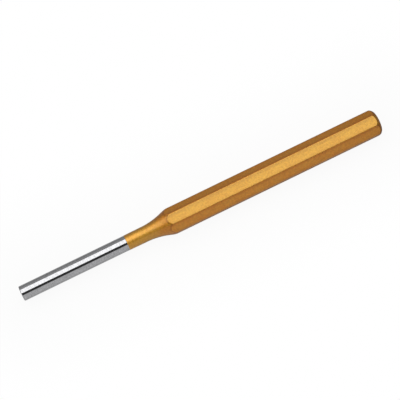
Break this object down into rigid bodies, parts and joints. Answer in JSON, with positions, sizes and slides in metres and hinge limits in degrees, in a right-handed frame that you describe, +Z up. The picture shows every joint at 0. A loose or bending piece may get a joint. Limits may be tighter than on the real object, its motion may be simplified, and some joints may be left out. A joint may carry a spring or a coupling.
{
  "type": "pin punch",
  "caption": "Hand pin punch: octagonal gold-lacquered shank with a turned neck and crowned striking head, and a bright ground pin for driving dowels and pins out of holes.",
  "frame": {"origin": "centre of the underside of the box: midway between the tip of the pin and the top of the head, on the flat that the shank lies on", "axes": "+X along the tool from the pin towards the head, +Y across the tool, +Z up out of the flat that it lies on"},
  "size_m": [0.15, 0.01, 0.01],
  "materials": {
    "gold_lacquer": "satin gold lacquer over steel",
    "ground_steel": "bright ground steel"
  },
  "bodies": {
    "root": {"shank": "gold_lacquer", "pin": "ground_steel"}
  },
  "joints": []
}
